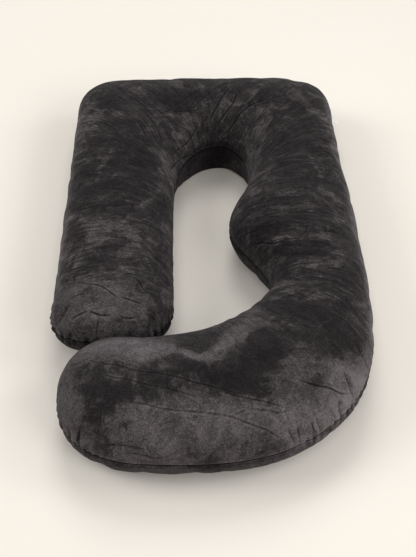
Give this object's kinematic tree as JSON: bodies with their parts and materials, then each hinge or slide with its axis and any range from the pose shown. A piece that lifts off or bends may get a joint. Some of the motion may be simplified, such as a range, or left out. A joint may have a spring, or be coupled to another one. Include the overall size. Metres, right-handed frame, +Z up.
{
  "type": "g-shaped body pillow",
  "caption": "Long G-shaped body pillow in dark crushed velvet: head bar, straight arm, belly bump and curled foot lobe round an open middle.",
  "frame": {"origin": "centre of the pillow's outline, on the surface it lies on", "axes": "+X across the pillow towards the side with the belly bump, +Y along it towards the head bar, +Z up"},
  "size_m": [0.8041, 1.4254, 0.217],
  "materials": {
    "velvet_cover": "dark charcoal crushed velvet, matte with a soft sheen",
    "care_label": "plain white satin tape"
  },
  "bodies": {
    "root": {"pillow": "velvet_cover", "care_label": "care_label"}
  },
  "joints": []
}
